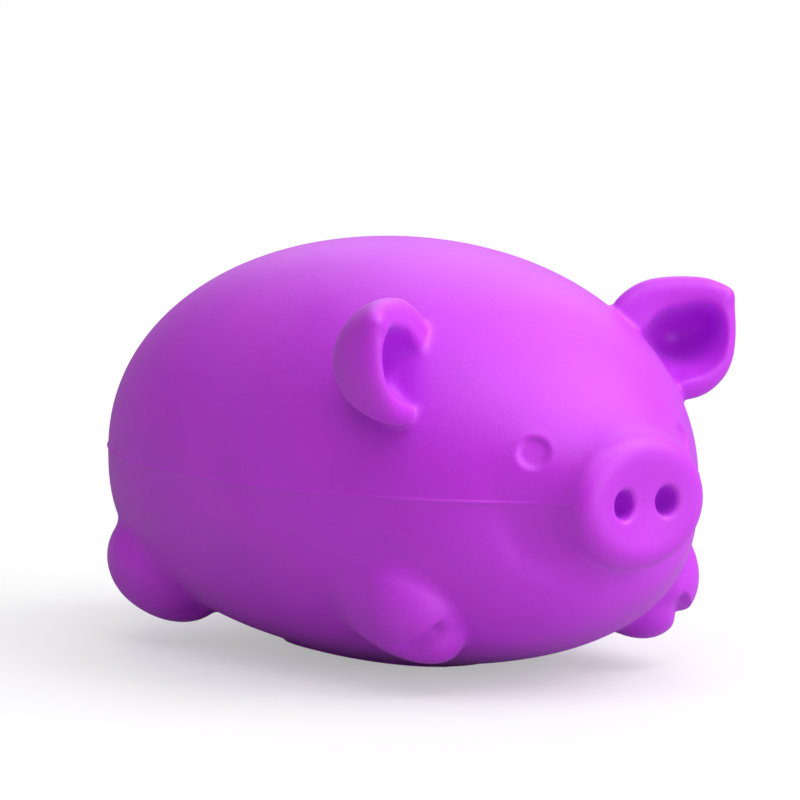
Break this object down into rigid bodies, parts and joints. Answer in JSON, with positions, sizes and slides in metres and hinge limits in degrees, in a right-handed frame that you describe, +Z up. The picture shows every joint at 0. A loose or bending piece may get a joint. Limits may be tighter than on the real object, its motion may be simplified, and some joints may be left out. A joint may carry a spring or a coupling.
{
  "type": "pig squishy toy",
  "caption": "Palm-size squeezable rubber pig with a soft filling, cupped ears, a blunt snout and stubby feet that spring back.",
  "frame": {"origin": "on the floor, at the middle of the footprint of the whole toy, snout and tail included", "axes": "+Z up, the pig faces -Y, and its left side is +X"},
  "size_m": [0.059, 0.0962, 0.0505],
  "materials": {
    "skin": "matte, soft, evenly dyed",
    "dough": "soft filling, hidden inside the skin"
  },
  "bodies": {
    "belly": {"lower_skin": "skin", "filling": "dough", "belly_plug": "skin"},
    "back": {"upper_skin": "skin"},
    "snout": {"snout": "skin"},
    "tail": {"tail": "skin"},
    "left_ear": {"left_ear": "skin"},
    "right_ear": {"right_ear": "skin"},
    "front_left_foot": {"front_left_foot": "skin"},
    "front_right_foot": {"front_right_foot": "skin"},
    "rear_left_foot": {"rear_left_foot": "skin"},
    "rear_right_foot": {"rear_right_foot": "skin"}
  },
  "joints": [
    {"name": "squeeze", "type": "slide", "parent": "belly", "child": "back", "axis": [0, 0, -1], "range_m": [0, 0.008], "stiffness_N_per_m": 1500, "deforming": ["upper_skin", "lower_skin", "filling"]},
    {"name": "snout_flex", "type": "hinge", "parent": "back", "child": "snout", "pos_m": [0, -0.04408, 0.0235], "axis": [1, 0, 0], "range_deg": [-8, 8], "stiffness_Nm_per_rad": 0.08},
    {"name": "tail_flex", "type": "hinge", "parent": "back", "child": "tail", "pos_m": [0, 0.04465, 0.02991], "axis": [0, 0, 1], "range_deg": [-20, 20], "stiffness_Nm_per_rad": 0.0008},
    {"name": "left_ear_flex", "type": "hinge", "parent": "back", "child": "left_ear", "pos_m": [0.01516, -0.02217, 0.03905], "axis": [-0.4607, 0.5454, 0.7002], "range_deg": [-12, 12], "stiffness_Nm_per_rad": 0.01},
    {"name": "right_ear_flex", "type": "hinge", "parent": "back", "child": "right_ear", "pos_m": [-0.01516, -0.02217, 0.03905], "axis": [-0.4607, -0.5454, -0.7002], "range_deg": [-12, 12], "stiffness_Nm_per_rad": 0.01},
    {"name": "front_left_foot_flex", "type": "hinge", "parent": "belly", "child": "front_left_foot", "pos_m": [0.02273, -0.02195, 0.01195], "axis": [0, 1, 0], "range_deg": [-8, 8], "stiffness_Nm_per_rad": 0.05},
    {"name": "front_right_foot_flex", "type": "hinge", "parent": "belly", "child": "front_right_foot", "pos_m": [-0.02273, -0.02195, 0.01195], "axis": [0, -1, 0], "range_deg": [-8, 8], "stiffness_Nm_per_rad": 0.05},
    {"name": "rear_left_foot_flex", "type": "hinge", "parent": "belly", "child": "rear_left_foot", "pos_m": [0.02366, 0.02039, 0.01011], "axis": [0, 1, 0], "range_deg": [-8, 8], "stiffness_Nm_per_rad": 0.05},
    {"name": "rear_right_foot_flex", "type": "hinge", "parent": "belly", "child": "rear_right_foot", "pos_m": [-0.02366, 0.02039, 0.01011], "axis": [0, -1, 0], "range_deg": [-8, 8], "stiffness_Nm_per_rad": 0.05}
  ]
}
